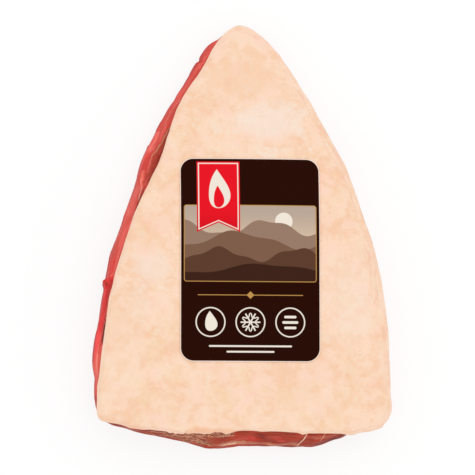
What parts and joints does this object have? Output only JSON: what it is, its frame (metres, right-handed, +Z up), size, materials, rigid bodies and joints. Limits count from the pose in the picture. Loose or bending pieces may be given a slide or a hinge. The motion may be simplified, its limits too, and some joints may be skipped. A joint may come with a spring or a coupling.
{
  "type": "raw picanha",
  "caption": "Raw rump cap of beef, a flat rounded triangle lying on its lean side, with a thick fat cap on top that wraps round one long side and a plain printed label on the fat.",
  "frame": {"origin": "under the middle of the cut, on the surface that it lies on", "axes": "+Z up through the fat cap, +Y from the broad cut end to the tip, +X to the long side that the fat wraps round"},
  "size_m": [0.1883, 0.2687, 0.0478],
  "materials": {
    "lean": "moist raw red meat with a fine grain",
    "fat": "pale pinkish cream fat, softly mottled and slightly waxy",
    "label": "dark brown printed film with a satin face"
  },
  "bodies": {
    "root": {"muscle": "lean", "fat_cap": "fat", "label": "label"}
  },
  "joints": []
}
